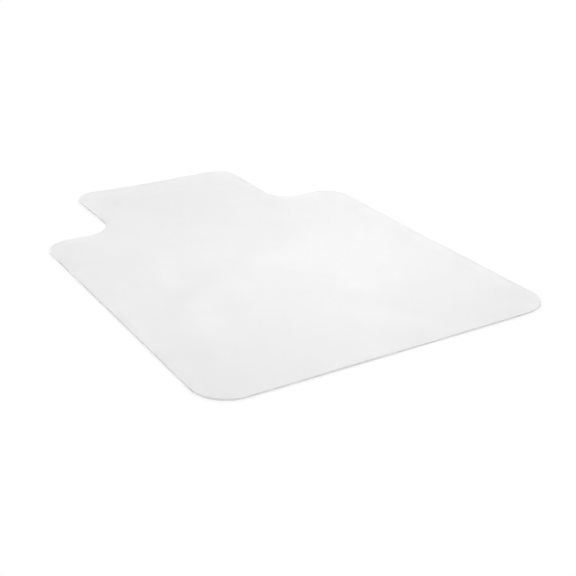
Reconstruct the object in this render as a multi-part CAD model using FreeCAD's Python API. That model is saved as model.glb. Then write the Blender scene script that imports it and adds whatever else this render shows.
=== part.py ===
import FreeCAD, Part
import os
from FreeCAD import Vector

# Chair mat with a lip, for hard floors. One vinyl laminate, cut to its outline in a single stroke:
# a thin embossed wear layer, a stiff core sheet and a thin soft grip backing, bonded face to face.
#
# Units are millimetres and +Z is up. The origin is on the floor, at the centre of the mat's box.
# The chair stands on the square body of the mat, and +Y points to the lip, which goes under the desk
# between its pedestals.

# Outline: a 36 x 36 inch body with a 20 x 12 inch lip in the middle of its back edge
BODY_WIDTH = 914.4
BODY_DEPTH = 914.4
LIP_WIDTH = 508.0
LIP_DEPTH = 304.8
FRONT_CORNER_RADIUS = 82.5      # the two corners at the sitter's end
SHOULDER_RADIUS = 70.0          # outer corners of the body, beside the lip
LIP_ROOT_RADIUS = 70.0          # inside corners where the lip leaves the body
LIP_CORNER_RADIUS = 63.5        # outer corners of the lip

# Layers, from the floor up
BACKING_THICKNESS = 0.4
CORE_THICKNESS = 3.8
WEAR_THICKNESS = 0.6

# The cut leaves the top and bottom edges slightly eased
TOP_EDGE_RADIUS = 0.4
BOTTOM_EDGE_CHAMFER = 0.2

# Heights of the bonded faces
CORE_BOTTOM = BACKING_THICKNESS
WEAR_BOTTOM = CORE_BOTTOM + CORE_THICKNESS
MAT_THICKNESS = WEAR_BOTTOM + WEAR_THICKNESS

# Where the outline's straight edges lie
FRONT_Y = -(BODY_DEPTH + LIP_DEPTH) / 2
SHOULDER_Y = FRONT_Y + BODY_DEPTH
LIP_END_Y = SHOULDER_Y + LIP_DEPTH
BODY_SIDE_X = BODY_WIDTH / 2
LIP_SIDE_X = LIP_WIDTH / 2

HEIGHT_TOLERANCE = 1e-6
CUBIC_CENTIMETRE = 1000.0


def half_outline():
    """Corners of the right-hand half, from the front edge round to the lip's end, with their radii."""
    return [
        (Vector(BODY_SIDE_X, FRONT_Y, 0), FRONT_CORNER_RADIUS),
        (Vector(BODY_SIDE_X, SHOULDER_Y, 0), SHOULDER_RADIUS),
        (Vector(LIP_SIDE_X, SHOULDER_Y, 0), LIP_ROOT_RADIUS),
        (Vector(LIP_SIDE_X, LIP_END_Y, 0), LIP_CORNER_RADIUS),
    ]


def mat_corners():
    """All the corners, anticlockwise: the right-hand half, then its mirror image on the left."""
    right = half_outline()
    left = [(Vector(-corner.x, corner.y, corner.z), radius) for corner, radius in reversed(right)]
    return right + left


def corner_arc(before, corner, after, radius):
    """Arc that rounds a square corner, as its start, middle and end points."""
    towards_before = (before - corner).normalize()
    towards_after = (after - corner).normalize()
    centre = corner + (towards_before + towards_after) * radius
    towards_corner = (corner - centre).normalize()
    start = corner + towards_before * radius
    middle = centre + towards_corner * radius
    end = corner + towards_after * radius
    return start, middle, end


def outline_wire(height):
    """The mat's closed outline at the given height."""
    corners = mat_corners()
    count = len(corners)
    arcs = []
    for index, (corner, radius) in enumerate(corners):
        before = corners[index - 1][0]
        after = corners[(index + 1) % count][0]
        arcs.append(corner_arc(before, corner, after, radius))
    edges = []
    for index, (start, middle, end) in enumerate(arcs):
        next_start = arcs[(index + 1) % count][0]
        edges.append(Part.Arc(start, middle, end).toShape())
        edges.append(Part.LineSegment(end, next_start).toShape())
    wire = Part.Wire(edges)
    wire.translate(Vector(0, 0, height))
    return wire


def sheet(bottom, thickness):
    """Flat sheet with the mat's outline, from the given height up."""
    return Part.Face(outline_wire(bottom)).extrude(Vector(0, 0, thickness))


def edges_at_height(solid, height):
    """The edges of a sheet that lie flat at the given height."""
    return [
        edge
        for edge in solid.Edges
        if abs(edge.BoundBox.ZMin - height) < HEIGHT_TOLERANCE
        and abs(edge.BoundBox.ZMax - height) < HEIGHT_TOLERANCE
    ]


def wear_layer():
    """Top film that the castors roll on, with its upper edge rounded over."""
    film = sheet(WEAR_BOTTOM, WEAR_THICKNESS)
    rounded = film.makeFillet(TOP_EDGE_RADIUS, edges_at_height(film, MAT_THICKNESS))
    return rounded.Solids[0]


def core_sheet():
    """Stiff sheet that spreads the load and gives the mat most of its thickness."""
    return sheet(CORE_BOTTOM, CORE_THICKNESS)


def grip_backing():
    """Soft film that holds the floor, with its lower edge chamfered."""
    film = sheet(0, BACKING_THICKNESS)
    chamfered = film.makeChamfer(BOTTOM_EDGE_CHAMFER, edges_at_height(film, 0))
    return chamfered.Solids[0]


NODES = {
    "wear_layer": wear_layer,
    "core_sheet": core_sheet,
    "grip_backing": grip_backing,
}


def main():
    os.makedirs("parts", exist_ok=True)
    for node, make in NODES.items():
        solid = make()
        solid.exportStep(f"parts/{node}.step")
        volume = solid.Volume / CUBIC_CENTIMETRE
        print(f"{node}: {solid.ShapeType}, valid {solid.isValid()}, {volume:.1f} cm3")


main()
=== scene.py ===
import bmesh
import bpy
import math
from mathutils import Matrix, Vector, geometry


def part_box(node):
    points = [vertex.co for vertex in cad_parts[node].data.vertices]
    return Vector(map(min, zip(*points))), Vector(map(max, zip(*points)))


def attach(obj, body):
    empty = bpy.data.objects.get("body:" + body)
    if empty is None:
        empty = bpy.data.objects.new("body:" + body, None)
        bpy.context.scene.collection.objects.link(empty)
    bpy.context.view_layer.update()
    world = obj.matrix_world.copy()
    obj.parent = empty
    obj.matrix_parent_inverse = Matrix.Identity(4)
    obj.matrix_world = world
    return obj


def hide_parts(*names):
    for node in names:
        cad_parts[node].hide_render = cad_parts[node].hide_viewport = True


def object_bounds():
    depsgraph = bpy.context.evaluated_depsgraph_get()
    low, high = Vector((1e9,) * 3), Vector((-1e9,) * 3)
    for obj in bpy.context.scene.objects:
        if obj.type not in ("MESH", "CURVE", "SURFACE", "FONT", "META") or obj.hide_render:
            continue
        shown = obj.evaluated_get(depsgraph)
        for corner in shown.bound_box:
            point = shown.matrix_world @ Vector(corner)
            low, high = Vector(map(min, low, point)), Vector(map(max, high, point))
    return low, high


# Looks of the chair mat: a clear, finely embossed wear film over a faintly milky core sheet and a soft
# grip film, lying on a pale studio floor. Metres, +Z up, +Y towards the lip.

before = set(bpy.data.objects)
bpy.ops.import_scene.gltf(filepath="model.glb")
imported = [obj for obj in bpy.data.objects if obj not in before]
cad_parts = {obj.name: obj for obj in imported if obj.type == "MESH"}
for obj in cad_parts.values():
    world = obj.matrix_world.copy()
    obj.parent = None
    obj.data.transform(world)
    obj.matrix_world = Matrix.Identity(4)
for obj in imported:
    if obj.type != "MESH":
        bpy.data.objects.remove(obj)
CAD_LOW, CAD_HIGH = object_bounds()

MM = 0.001

# Outline
BODY_DEPTH = 914.4 * MM
LIP_WIDTH = 508.0 * MM
FRONT_CORNER_RADIUS = 82.5 * MM
SHOULDER_RADIUS = 70.0 * MM
LIP_ROOT_RADIUS = 70.0 * MM
LIP_CORNER_RADIUS = 63.5 * MM
TOP_EDGE_RADIUS = 0.4 * MM
BOTTOM_EDGE_CHAMFER = 0.2 * MM

BODY_SIDE_X = CAD_HIGH.x
LIP_SIDE_X = LIP_WIDTH / 2
FRONT_Y = CAD_LOW.y
SHOULDER_Y = FRONT_Y + BODY_DEPTH
LIP_END_Y = CAD_HIGH.y

# Mesh detail
ARC_STEPS = 24                      # pieces in each rounded corner
EDGE_SPACING = 8 * MM
FEWEST_EDGE_STEPS = 2               # pieces in even the shortest straight stretch
GRID_SPACING = 11 * MM
GRID_STAGGER = 0.5                  # how far every other row is moved along, as a share of the spacing
GRID_MARGIN = 0.6 * GRID_SPACING    # between the outline and the nearest grid point
ROUND_STEPS = 4                     # pieces in the wear film's rounded upper edge
SHARP_ANGLE = math.radians(30)
MERGE_DISTANCE = 1e-7
KEEP_INSIDE = 1                     # delaunay_2d_cdt output type: only the triangles inside the outline

BOND_GAP = 0.03 * MM                # hairline between layers, so that no two faces share a plane
FLOOR_GAP = 0.1 * MM                # the lowest point of the mat above the floor

# The sheet never lies quite flat: long shallow waves as (height, length, heading in degrees, phase)
WAVES = (
    (0.10 * MM, 0.34, 82, 0.4),
    (0.07 * MM, 0.52, 35, 2.1),
    (0.05 * MM, 0.23, 101, 1.3),
)
# and places where it stays off the floor, as (x, y, reach, height)
LIFTS = (
    (LIP_SIDE_X, LIP_END_Y, 0.16, 3.0 * MM),
    (BODY_SIDE_X, SHOULDER_Y, 0.18, 2.0 * MM),
    (BODY_SIDE_X, FRONT_Y, 0.10, 2.2 * MM),
    (-LIP_SIDE_X, LIP_END_Y, 0.12, 3.0 * MM),
    (-BODY_SIDE_X, FRONT_Y + 0.60, 0.09, 0.5 * MM),
)

# Looks. A pair is the least and the most of a value that varies over the surface.
FILM_TINT = (0.946, 0.976)          # share of the light that the film lets through at one pass
FILM_ROUGHNESS = (0.34, 0.42)
FILM_IOR = 1.5
CLOUD_SCALE = 9                     # clouds per metre
CLOUD_ROUGHNESS = 0.6
FILM_CLOUD_DETAIL = 4.0
GLOSS_PATCH_SCALE = 25              # patches of different gloss per metre
GLOSS_PATCH_DETAIL = 3.0
PEBBLE_SIZE = 1.4 * MM
PEBBLE_DEPTH = 0.09 * MM
PEBBLE_SMOOTHNESS = 0.6
GRAIN_SIZE = 0.3 * MM
GRAIN_DEPTH = 0.006 * MM
CORE_IOR = 1.5
CORE_CLEARNESS = 0.98               # the rest is haze
CORE_TINT = (0.98, 1.0)
CORE_ABSORPTION = 1.4               # absorption coefficient, per metre of core
CORE_ROUGHNESS = (0.33, 0.35)
CORE_CLOUD_DETAIL = 5.0
HAZE_ALPHA = 0.03
HAZE_TINT = (0.86, 0.94)
BACKING_ROUGHNESS = (0.7, 0.85)
BACKING_GRAIN_SIZE = 0.8 * MM
BACKING_GRAIN_DEPTH = 0.04 * MM
BACKING_GRAIN_DETAIL = 3.0
# Grey of the cut faces: partly their own greyer tone, partly painted shade standing in for the dark line
# along the mat's edges
EDGE_GREY_AND_PAINTED_SHADE = (0.6, 0.7)
EDGE_ROUGHNESS = (0.3, 0.5)
EDGE_ALPHA = 0.95
STREAK_LENGTH = 14 * MM
STREAK_HEIGHT = 0.5 * MM
STREAK_DEPTH = 0.05 * MM
STREAK_DETAIL = 3.0
STREAK_ROUGHNESS = 0.6
NOISE_DETAIL = 2.0                  # of a noise for which none is stated
NOISE_ROUGHNESS = 0.5
NOISE_RANGE = (0.3, 0.7)            # where most of a noise's values lie
BLACK = (0, 0, 0, 1)
WHITE = (1, 1, 1, 1)

# Studio, with powers in watts
FLOOR_SIZE = 60
FLOOR_TINT = 0.95
FLOOR_ROUGHNESS = 0.9
FLOOR_SPECULAR = 0.0
WORLD_STRENGTH = 1.055              # times the floor's tint, just enough for a white floor
KEY_AZIMUTH = 42                    # degrees from +Y towards +X
KEY_ELEVATION = 24                  # degrees
KEY_DISTANCE = 4.0
KEY_SIZE = 1.4
KEY_POWER = 3.1
KEY_TARGET = Vector((0.1, 0, 0))
OVERHEAD_TARGET = Vector((0.07, -0.07, 0))
OVERHEAD_HEIGHT = 1.7
OVERHEAD_SIZE = 0.6
OVERHEAD_SPREAD = 45                # degrees
OVERHEAD_POWER = 0.36
FULL_SPREAD = 180                   # degrees
MANY_BOUNCES = 64
GLOSSY_BOUNCES = 16
DIFFUSE_BOUNCES = 8
GLOSSY_BLUR = 0.0

# Camera
AZIMUTH = math.radians(-32.79)      # from -Y towards +X
ELEVATION = math.radians(25.0)
ROLL = 0.0275                       # radians
DISTANCE = 2.4395
TARGET = Vector((-0.0424, -0.229, CAD_HIGH.z))
LENS = 64.07                        # millimetres, like the sensor
SENSOR_WIDTH = 36


# ---------------------------------------------------------------- outline

def corner(x, y, radius, start, turn):
    """Rounded corner of the outline, as its arc's centre and radius, and its start and turn in degrees."""
    middle = math.radians(start + turn / 2)
    outward = Vector((math.cos(middle), math.sin(middle)))
    centre = Vector((x, y)) - radius * math.sqrt(2) * outward
    return centre, radius, start, turn


CORNERS = (
    corner(BODY_SIDE_X, FRONT_Y, FRONT_CORNER_RADIUS, -90, 90),
    corner(BODY_SIDE_X, SHOULDER_Y, SHOULDER_RADIUS, 0, 90),
    corner(LIP_SIDE_X, SHOULDER_Y, LIP_ROOT_RADIUS, 270, -90),
    corner(LIP_SIDE_X, LIP_END_Y, LIP_CORNER_RADIUS, 0, 90),
    corner(-LIP_SIDE_X, LIP_END_Y, LIP_CORNER_RADIUS, 90, 90),
    corner(-LIP_SIDE_X, SHOULDER_Y, LIP_ROOT_RADIUS, 0, -90),
    corner(-BODY_SIDE_X, SHOULDER_Y, SHOULDER_RADIUS, 90, 90),
    corner(-BODY_SIDE_X, FRONT_Y, FRONT_CORNER_RADIUS, 180, 90),
)


def arc_points(arc, inset):
    """Points along one corner's arc, moved in from the cut edge by inset."""
    centre, radius, start, turn = arc
    reach = radius - math.copysign(inset, turn)
    points = []
    for step in range(ARC_STEPS + 1):
        angle = math.radians(start + turn * step / ARC_STEPS)
        points.append(centre + reach * Vector((math.cos(angle), math.sin(angle))))
    return points


def outline(inset=0.0):
    """Points of the outline, anticlockwise, moved in from the cut edge by inset. Always the same number."""
    cut_edge = [arc_points(arc, 0.0) for arc in CORNERS]
    moved = [arc_points(arc, inset) for arc in CORNERS]
    points = []
    for index, arc in enumerate(moved):
        after = (index + 1) % len(CORNERS)
        length = (cut_edge[after][0] - cut_edge[index][-1]).length
        count = max(FEWEST_EDGE_STEPS, round(length / EDGE_SPACING))
        points += arc
        points += [arc[-1].lerp(moved[after][0], step / count) for step in range(1, count)]
    return points


def inside(point, polygon):
    """True if the point is within the polygon."""
    within = False
    for before, after in zip([polygon[-1]] + polygon, polygon):
        if (before.y > point.y) != (after.y > point.y):
            share = (point.y - before.y) / (after.y - before.y)
            if point.x < before.x + share * (after.x - before.x):
                within = not within
    return within


def plan():
    """Fill of the outline: a staggered grid of points, and triangles over the rim and grid points."""
    rim = outline()
    limit = outline(GRID_MARGIN)
    columns = math.ceil((CAD_HIGH.x - CAD_LOW.x) / GRID_SPACING)
    rows = math.ceil((CAD_HIGH.y - CAD_LOW.y) / GRID_SPACING)
    grid = []
    for row in range(rows + 1):
        for column in range(columns + 1):
            x = CAD_LOW.x + (column + GRID_STAGGER * (row % 2)) * GRID_SPACING
            point = Vector((x, CAD_LOW.y + row * GRID_SPACING))
            if inside(point, limit):
                grid.append(point)
    loop = list(range(len(rim)))
    edges = list(zip(loop, loop[1:] + loop[:1]))
    filled = geometry.delaunay_2d_cdt(rim + grid, edges, [loop], KEEP_INSIDE, MERGE_DISTANCE)
    triangles, sources = filled[2], filled[3]
    return grid, [tuple(sources[vertex][0] for vertex in triangle) for triangle in triangles]


GRID, TRIANGLES = plan()


# ---------------------------------------------------------------- sheet shape

def ripple(point):
    """Height of the sheet's waves and lifted places at a point of the plan."""
    height = 0.0
    for amplitude, length, heading, phase in WAVES:
        angle = math.radians(heading)
        along = point.x * math.cos(angle) + point.y * math.sin(angle)
        height += amplitude * math.sin(2 * math.pi * along / length + phase)
    for x, y, reach, amount in LIFTS:
        away = (point.x - x) ** 2 + (point.y - y) ** 2
        height += amount * math.exp(-away / reach ** 2)
    return height


LOWEST = min(ripple(point) for point in outline() + GRID)


def raised(point, height):
    """A point of the plan at a height in the flat sheet, carried up by the waves and lifted places."""
    return point.x, point.y, height + ripple(point) - LOWEST + FLOOR_GAP


def layer(name, profile, face_material, edge_material=None, plain_from=None):
    """Closed sheet with the mat's outline. profile is (inset, height) up its edge, from bottom to top face.

    The edge has a material of its own if one is given, except for the bands from index plain_from up.
    """
    mesh_maker = bmesh.new()
    rings = []
    for inset, height in profile:
        rings.append([mesh_maker.verts.new(raised(point, height)) for point in outline(inset)])
    for band, (low, high) in enumerate(zip(rings, rings[1:])):
        for here in range(len(low)):
            after = (here + 1) % len(low)
            face = mesh_maker.faces.new((low[here], low[after], high[after], high[here]))
            own_material = edge_material is not None and (plain_from is None or band < plain_from)
            face.material_index = int(own_material)
    bottom = (rings[0], profile[0][1], False)
    top = (rings[-1], profile[-1][1], True)
    for ring, height, faces_up in (bottom, top):
        vertices = ring + [mesh_maker.verts.new(raised(point, height)) for point in GRID]
        for triangle in TRIANGLES:
            turned = triangle if faces_up else triangle[::-1]
            mesh_maker.faces.new([vertices[index] for index in turned])
    mesh = bpy.data.meshes.new(name)
    mesh_maker.normal_update()
    mesh_maker.to_mesh(mesh)
    mesh_maker.free()
    mesh.materials.append(face_material)
    if edge_material is not None:
        mesh.materials.append(edge_material)
    mesh.shade_smooth()
    mesh.set_sharp_from_angle(angle=SHARP_ANGLE)
    piece = bpy.data.objects.new(name, mesh)
    bpy.context.scene.collection.objects.link(piece)
    return piece


# ---------------------------------------------------------------- materials

class Maker:
    """Builds one Principled material from texture nodes in the object's own coordinates."""

    def __init__(self, name):
        self.material = bpy.data.materials.new(name)
        self.material.use_nodes = True
        self.tree = self.material.node_tree
        self.shader = self.tree.nodes["Principled BSDF"]
        self.place = self.tree.nodes.new("ShaderNodeTexCoord").outputs["Object"]

    def set(self, **values):
        """Plain values on the shader's sockets, with underscores for the spaces in their names."""
        for name, value in values.items():
            self.shader.inputs[name.replace("_", " ")].default_value = value

    def stretched(self, scale):
        """Object coordinates scaled per axis."""
        node = self.tree.nodes.new("ShaderNodeMapping")
        node.inputs["Scale"].default_value = scale
        self.tree.links.new(self.place, node.inputs["Vector"])
        return node.outputs["Vector"]

    def noise(self, scale, detail=NOISE_DETAIL, roughness=NOISE_ROUGHNESS, place=None):
        """Cloudy pattern of about 0 to 1, with scale features per metre."""
        node = self.tree.nodes.new("ShaderNodeTexNoise")
        node.inputs["Scale"].default_value = scale
        node.inputs["Detail"].default_value = detail
        node.inputs["Roughness"].default_value = roughness
        self.tree.links.new(place or self.place, node.inputs["Vector"])
        return node.outputs["Fac"]

    def pebbles(self, scale):
        """Rounded cells, highest in their middles, like the emboss of a calender roll."""
        node = self.tree.nodes.new("ShaderNodeTexVoronoi")
        node.voronoi_dimensions = "2D"
        node.feature = "SMOOTH_F1"
        node.inputs["Scale"].default_value = scale
        node.inputs["Smoothness"].default_value = PEBBLE_SMOOTHNESS
        self.tree.links.new(self.place, node.inputs["Vector"])
        flip = self.tree.nodes.new("ShaderNodeMath")
        flip.operation = "SUBTRACT"
        flip.inputs[0].default_value = 1.0
        self.tree.links.new(node.outputs["Distance"], flip.inputs[1])
        return flip.outputs[0]

    def ranged(self, value, low, high):
        """A noise's usual range stretched over low to high."""
        node = self.tree.nodes.new("ShaderNodeMapRange")
        node.inputs["From Min"].default_value = NOISE_RANGE[0]
        node.inputs["From Max"].default_value = NOISE_RANGE[1]
        node.inputs["To Min"].default_value = low
        node.inputs["To Max"].default_value = high
        self.tree.links.new(value, node.inputs["Value"])
        return node.outputs["Result"]

    def grey(self, value):
        """The value as a grey colour."""
        node = self.tree.nodes.new("ShaderNodeCombineColor")
        for channel in node.inputs:
            self.tree.links.new(value, channel)
        return node.outputs["Color"]

    def bump(self, height, depth, under=None):
        """Bumps that deep from a height of 0 to 1, laid over those in under if it is given."""
        node = self.tree.nodes.new("ShaderNodeBump")
        node.inputs["Distance"].default_value = depth
        self.tree.links.new(height, node.inputs["Height"])
        if under is not None:
            self.tree.links.new(under, node.inputs["Normal"])
        return node.outputs["Normal"]

    def streaks(self):
        """Fine lines that a knife leaves along a cut edge."""
        along = self.stretched((1 / STREAK_LENGTH, 1 / STREAK_LENGTH, 1 / STREAK_HEIGHT))
        return self.noise(1.0, STREAK_DETAIL, STREAK_ROUGHNESS, place=along)

    def link(self, **sources):
        """Node outputs into the shader's sockets, named as in set."""
        for name, source in sources.items():
            self.tree.links.new(source, self.shader.inputs[name.replace("_", " ")])


def embossed_film():
    """Clear matte film with a pebbled emboss, faint clouds and patches of slightly different gloss."""
    maker = Maker("embossed_film")
    maker.set(Transmission_Weight=1.0, IOR=FILM_IOR)
    clouds = maker.noise(CLOUD_SCALE, FILM_CLOUD_DETAIL, CLOUD_ROUGHNESS)
    gloss = maker.noise(GLOSS_PATCH_SCALE, GLOSS_PATCH_DETAIL)
    pebbles = maker.bump(maker.pebbles(1 / PEBBLE_SIZE), PEBBLE_DEPTH)
    grain = maker.bump(maker.noise(1 / GRAIN_SIZE), GRAIN_DEPTH, under=pebbles)
    maker.link(
        Base_Color=maker.grey(maker.ranged(clouds, *FILM_TINT)),
        Roughness=maker.ranged(gloss, *FILM_ROUGHNESS),
        Normal=grain,
    )
    return maker.material


def milky_core():
    """Core sheet: clear plastic that is a little milky, and darker the further light goes through it."""
    maker = Maker("milky_core")
    maker.set(Transmission_Weight=CORE_CLEARNESS, IOR=CORE_IOR)
    clouds = maker.noise(CLOUD_SCALE, CORE_CLOUD_DETAIL, CLOUD_ROUGHNESS)
    maker.link(
        Base_Color=maker.grey(maker.ranged(clouds, *CORE_TINT)),
        Roughness=maker.ranged(clouds, *CORE_ROUGHNESS),
        Normal=maker.bump(maker.streaks(), STREAK_DEPTH),
    )
    absorption = maker.tree.nodes.new("ShaderNodeVolumeAbsorption")
    absorption.inputs["Color"].default_value = BLACK
    absorption.inputs["Density"].default_value = CORE_ABSORPTION
    output = maker.tree.nodes["Material Output"]
    maker.tree.links.new(absorption.outputs["Volume"], output.inputs["Volume"])
    return maker.material


def grip_film():
    """Grip backing's faces: almost clear and dull, with a fine sandy texture."""
    maker = Maker("grip_film")
    maker.set(Alpha=HAZE_ALPHA)
    grain = maker.noise(1 / BACKING_GRAIN_SIZE, BACKING_GRAIN_DETAIL)
    maker.link(
        Base_Color=maker.grey(maker.ranged(grain, *HAZE_TINT)),
        Roughness=maker.ranged(grain, *BACKING_ROUGHNESS),
        Normal=maker.bump(grain, BACKING_GRAIN_DEPTH),
    )
    return maker.material


def cut_edge():
    """Cut face of a film: greyer, partly its own tone and partly painted shade for the dark line along the
    mat's edges, with the fine streaks that the knife leaves along the edge.
    """
    maker = Maker("cut_edge")
    maker.set(Alpha=EDGE_ALPHA)
    streaks = maker.streaks()
    maker.link(
        Base_Color=maker.grey(maker.ranged(streaks, *EDGE_GREY_AND_PAINTED_SHADE)),
        Roughness=maker.ranged(streaks, *EDGE_ROUGHNESS),
        Normal=maker.bump(streaks, STREAK_DEPTH),
    )
    return maker.material


# ---------------------------------------------------------------- the mat

def make_mat():
    """The three layers, from the floor up."""
    edge = cut_edge()

    low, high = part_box("grip_backing")
    backing = layer(
        "grip_backing_film",
        [(BOTTOM_EDGE_CHAMFER, low.z), (0.0, low.z + BOTTOM_EDGE_CHAMFER), (0.0, high.z - BOND_GAP)],
        grip_film(), edge,
    )
    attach(backing, "root")
    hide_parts("grip_backing")

    low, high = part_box("core_sheet")
    core = layer("core_sheet_slab", [(0.0, low.z), (0.0, high.z - BOND_GAP)], milky_core())
    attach(core, "root")
    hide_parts("core_sheet")

    low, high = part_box("wear_layer")
    rounded = [(0.0, low.z)]
    for step in range(ROUND_STEPS + 1):
        angle = math.pi / 2 * step / ROUND_STEPS
        inset = TOP_EDGE_RADIUS * (1 - math.cos(angle))
        rounded.append((inset, high.z - TOP_EDGE_RADIUS * (1 - math.sin(angle))))
    wear = layer("wear_layer_film", rounded, embossed_film(), edge, plain_from=1)
    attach(wear, "root")
    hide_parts("wear_layer")


# ---------------------------------------------------------------- studio and camera

def make_floor():
    """Plain pale floor at the mat's underside."""
    half = FLOOR_SIZE / 2
    corners = [(-half, -half, 0), (half, -half, 0), (half, half, 0), (-half, half, 0)]
    mesh = bpy.data.meshes.new("floor")
    mesh.from_pydata(corners, [], [(0, 1, 2, 3)])
    material = bpy.data.materials.new("studio_floor")
    material.use_nodes = True
    shader = material.node_tree.nodes["Principled BSDF"]
    shader.inputs["Base Color"].default_value = (FLOOR_TINT, FLOOR_TINT, FLOOR_TINT, 1)
    shader.inputs["Roughness"].default_value = FLOOR_ROUGHNESS
    shader.inputs["Specular IOR Level"].default_value = FLOOR_SPECULAR
    mesh.materials.append(material)
    floor = bpy.data.objects.new("floor", mesh)
    bpy.context.scene.collection.objects.link(floor)


def towards(azimuth, elevation):
    """Unit vector at an azimuth from +Y towards +X and an elevation, both in degrees."""
    turn, rise = math.radians(azimuth), math.radians(elevation)
    return Vector((
        math.sin(turn) * math.cos(rise),
        math.cos(turn) * math.cos(rise),
        math.sin(rise),
    ))


def soft_light(name, target, away, size, power, spread=FULL_SPREAD):
    """Round soft light, away from the target it is aimed at. The spread of its beam is in degrees."""
    light = bpy.data.lights.new(name, "AREA")
    light.shape = "DISK"
    light.size = size
    light.energy = power
    light.spread = math.radians(spread)
    lamp = bpy.data.objects.new(name, light)
    bpy.context.scene.collection.objects.link(lamp)
    aim = away.to_track_quat("Z", "Y").to_matrix().to_4x4()
    lamp.matrix_world = Matrix.Translation(target + away) @ aim


def make_lights():
    """Even white surround, a large low light behind the mat and a narrowed one overhead."""
    world = bpy.data.worlds.new("studio")
    world.use_nodes = True
    background = world.node_tree.nodes["Background"]
    background.inputs["Color"].default_value = WHITE
    background.inputs["Strength"].default_value = WORLD_STRENGTH
    bpy.context.scene.world = world
    key_away = towards(KEY_AZIMUTH, KEY_ELEVATION) * KEY_DISTANCE
    soft_light("key", KEY_TARGET, key_away, KEY_SIZE, KEY_POWER)
    soft_light(
        "overhead", OVERHEAD_TARGET, Vector((0, 0, OVERHEAD_HEIGHT)), OVERHEAD_SIZE, OVERHEAD_POWER,
        OVERHEAD_SPREAD,
    )


def make_camera():
    """Camera at the mat's front left, with a slight roll."""
    data = bpy.data.cameras.new("camera")
    data.sensor_width = SENSOR_WIDTH
    data.lens = LENS
    camera = bpy.data.objects.new("camera", data)
    bpy.context.scene.collection.objects.link(camera)
    back = Vector((
        math.sin(AZIMUTH) * math.cos(ELEVATION),
        -math.cos(AZIMUTH) * math.cos(ELEVATION),
        math.sin(ELEVATION),
    ))
    place = Matrix.Translation(TARGET + back * DISTANCE)
    level = back.to_track_quat("Z", "Y").to_matrix().to_4x4()
    camera.matrix_world = place @ level @ Matrix.Rotation(ROLL, 4, "Z")
    bpy.context.scene.camera = camera


def set_light_paths():
    """Enough bounces for light to pass through the stacked clear faces and back, with no blurring of it."""
    scene = bpy.context.scene
    scene.view_settings.view_transform = "Standard"
    scene.cycles.max_bounces = MANY_BOUNCES
    scene.cycles.transparent_max_bounces = MANY_BOUNCES
    scene.cycles.transmission_bounces = MANY_BOUNCES
    scene.cycles.glossy_bounces = GLOSSY_BOUNCES
    scene.cycles.diffuse_bounces = DIFFUSE_BOUNCES
    scene.cycles.blur_glossy = GLOSSY_BLUR


make_camera()
make_floor()
make_lights()
make_mat()
set_light_paths()
